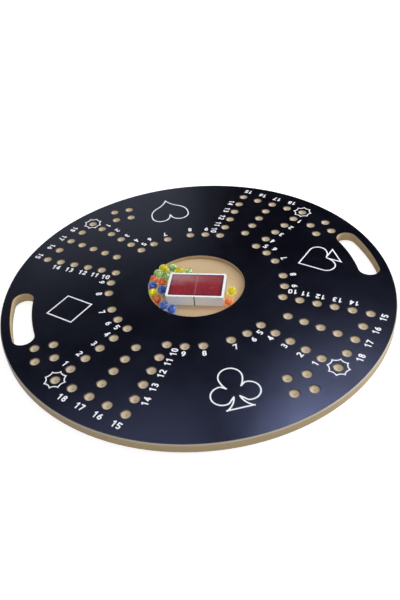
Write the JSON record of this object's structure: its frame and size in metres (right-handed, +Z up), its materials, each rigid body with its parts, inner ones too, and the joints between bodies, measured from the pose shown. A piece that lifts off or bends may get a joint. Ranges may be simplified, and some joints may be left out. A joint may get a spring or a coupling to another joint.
{
  "type": "jackaroo board",
  "caption": "Round marble-and-card race board with milled sockets, a central well, two hand slots, a wrapped card pack and loose glass marbles.",
  "frame": {"origin": "middle of the board's underside", "axes": "+Z up through the black face; the two hand slots lie on the X axis, the spade at +X, the club at -Y and the heart at +Y"},
  "size_m": [0.5999, 0.6, 0.0274],
  "materials": {
    "mdf": "milled MDF, unpainted",
    "laminate": "satin black melamine face",
    "white_print": "white screen print",
    "card_white": "coated card stock",
    "card_red": "red offset print",
    "film": "clear shrink film",
    "glass": "clear glass",
    "glass_yellow": "yellow glass vane",
    "glass_green": "green glass vane",
    "glass_orange": "orange glass vane",
    "glass_blue": "blue glass vane"
  },
  "bodies": {
    "board": {"board_core": "mdf", "black_face": "laminate", "club_outline": "white_print", "heart_outline": "white_print", "spade_outline": "white_print", "diamond_outline": "white_print", "start_star_front_left": "white_print", "start_star_front_right": "white_print", "start_star_back_right": "white_print", "start_star_back_left": "white_print", "numbers_front_left": "white_print", "numbers_front_right": "white_print", "numbers_back_right": "white_print", "numbers_back_left": "white_print"},
    "card_pack": {"pack_cards": "card_white", "pack_top_card": "card_white", "pack_back_print": "card_red", "pack_film": "film", "pack_tear_strip": "film"},
    "yellow_marble_1": {"marble_yellow_1": "glass", "vane_yellow_1": "glass_yellow"},
    "yellow_marble_2": {"marble_yellow_2": "glass", "vane_yellow_2": "glass_yellow"},
    "yellow_marble_3": {"marble_yellow_3": "glass", "vane_yellow_3": "glass_yellow"},
    "yellow_marble_4": {"marble_yellow_4": "glass", "vane_yellow_4": "glass_yellow"},
    "green_marble_1": {"marble_green_1": "glass", "vane_green_1": "glass_green"},
    "green_marble_2": {"marble_green_2": "glass", "vane_green_2": "glass_green"},
    "green_marble_3": {"marble_green_3": "glass", "vane_green_3": "glass_green"},
    "green_marble_4": {"marble_green_4": "glass", "vane_green_4": "glass_green"},
    "orange_marble_1": {"marble_orange_1": "glass", "vane_orange_1": "glass_orange"},
    "orange_marble_2": {"marble_orange_2": "glass", "vane_orange_2": "glass_orange"},
    "orange_marble_3": {"marble_orange_3": "glass", "vane_orange_3": "glass_orange"},
    "orange_marble_4": {"marble_orange_4": "glass", "vane_orange_4": "glass_orange"},
    "blue_marble_1": {"marble_blue_1": "glass", "vane_blue_1": "glass_blue"},
    "blue_marble_2": {"marble_blue_2": "glass", "vane_blue_2": "glass_blue"},
    "blue_marble_3": {"marble_blue_3": "glass", "vane_blue_3": "glass_blue"},
    "blue_marble_4": {"marble_blue_4": "glass", "vane_blue_4": "glass_blue"}
  },
  "joints": [
    {"name": "card_pack_lift", "type": "slide", "parent": "board", "child": "card_pack", "axis": [0, 0, 1], "range_m": [0, 0.06]},
    {"name": "yellow_marble_1_lift", "type": "slide", "parent": "board", "child": "yellow_marble_1", "axis": [0, 0, 1], "range_m": [0, 0.05]},
    {"name": "yellow_marble_2_lift", "type": "slide", "parent": "board", "child": "yellow_marble_2", "axis": [0, 0, 1], "range_m": [0, 0.05]},
    {"name": "yellow_marble_3_lift", "type": "slide", "parent": "board", "child": "yellow_marble_3", "axis": [0, 0, 1], "range_m": [0, 0.05]},
    {"name": "yellow_marble_4_lift", "type": "slide", "parent": "board", "child": "yellow_marble_4", "axis": [0, 0, 1], "range_m": [0, 0.05]},
    {"name": "green_marble_1_lift", "type": "slide", "parent": "board", "child": "green_marble_1", "axis": [0, 0, 1], "range_m": [0, 0.05]},
    {"name": "green_marble_2_lift", "type": "slide", "parent": "board", "child": "green_marble_2", "axis": [0, 0, 1], "range_m": [0, 0.05]},
    {"name": "green_marble_3_lift", "type": "slide", "parent": "board", "child": "green_marble_3", "axis": [0, 0, 1], "range_m": [0, 0.05]},
    {"name": "green_marble_4_lift", "type": "slide", "parent": "board", "child": "green_marble_4", "axis": [0, 0, 1], "range_m": [0, 0.05]},
    {"name": "orange_marble_1_lift", "type": "slide", "parent": "board", "child": "orange_marble_1", "axis": [0, 0, 1], "range_m": [0, 0.05]},
    {"name": "orange_marble_2_lift", "type": "slide", "parent": "board", "child": "orange_marble_2", "axis": [0, 0, 1], "range_m": [0, 0.05]},
    {"name": "orange_marble_3_lift", "type": "slide", "parent": "board", "child": "orange_marble_3", "axis": [0, 0, 1], "range_m": [0, 0.05]},
    {"name": "orange_marble_4_lift", "type": "slide", "parent": "board", "child": "orange_marble_4", "axis": [0, 0, 1], "range_m": [0, 0.05]},
    {"name": "blue_marble_1_lift", "type": "slide", "parent": "board", "child": "blue_marble_1", "axis": [0, 0, 1], "range_m": [0, 0.05]},
    {"name": "blue_marble_2_lift", "type": "slide", "parent": "board", "child": "blue_marble_2", "axis": [0, 0, 1], "range_m": [0, 0.05]},
    {"name": "blue_marble_3_lift", "type": "slide", "parent": "board", "child": "blue_marble_3", "axis": [0, 0, 1], "range_m": [0, 0.05]},
    {"name": "blue_marble_4_lift", "type": "slide", "parent": "board", "child": "blue_marble_4", "axis": [0, 0, 1], "range_m": [0, 0.05]}
  ]
}
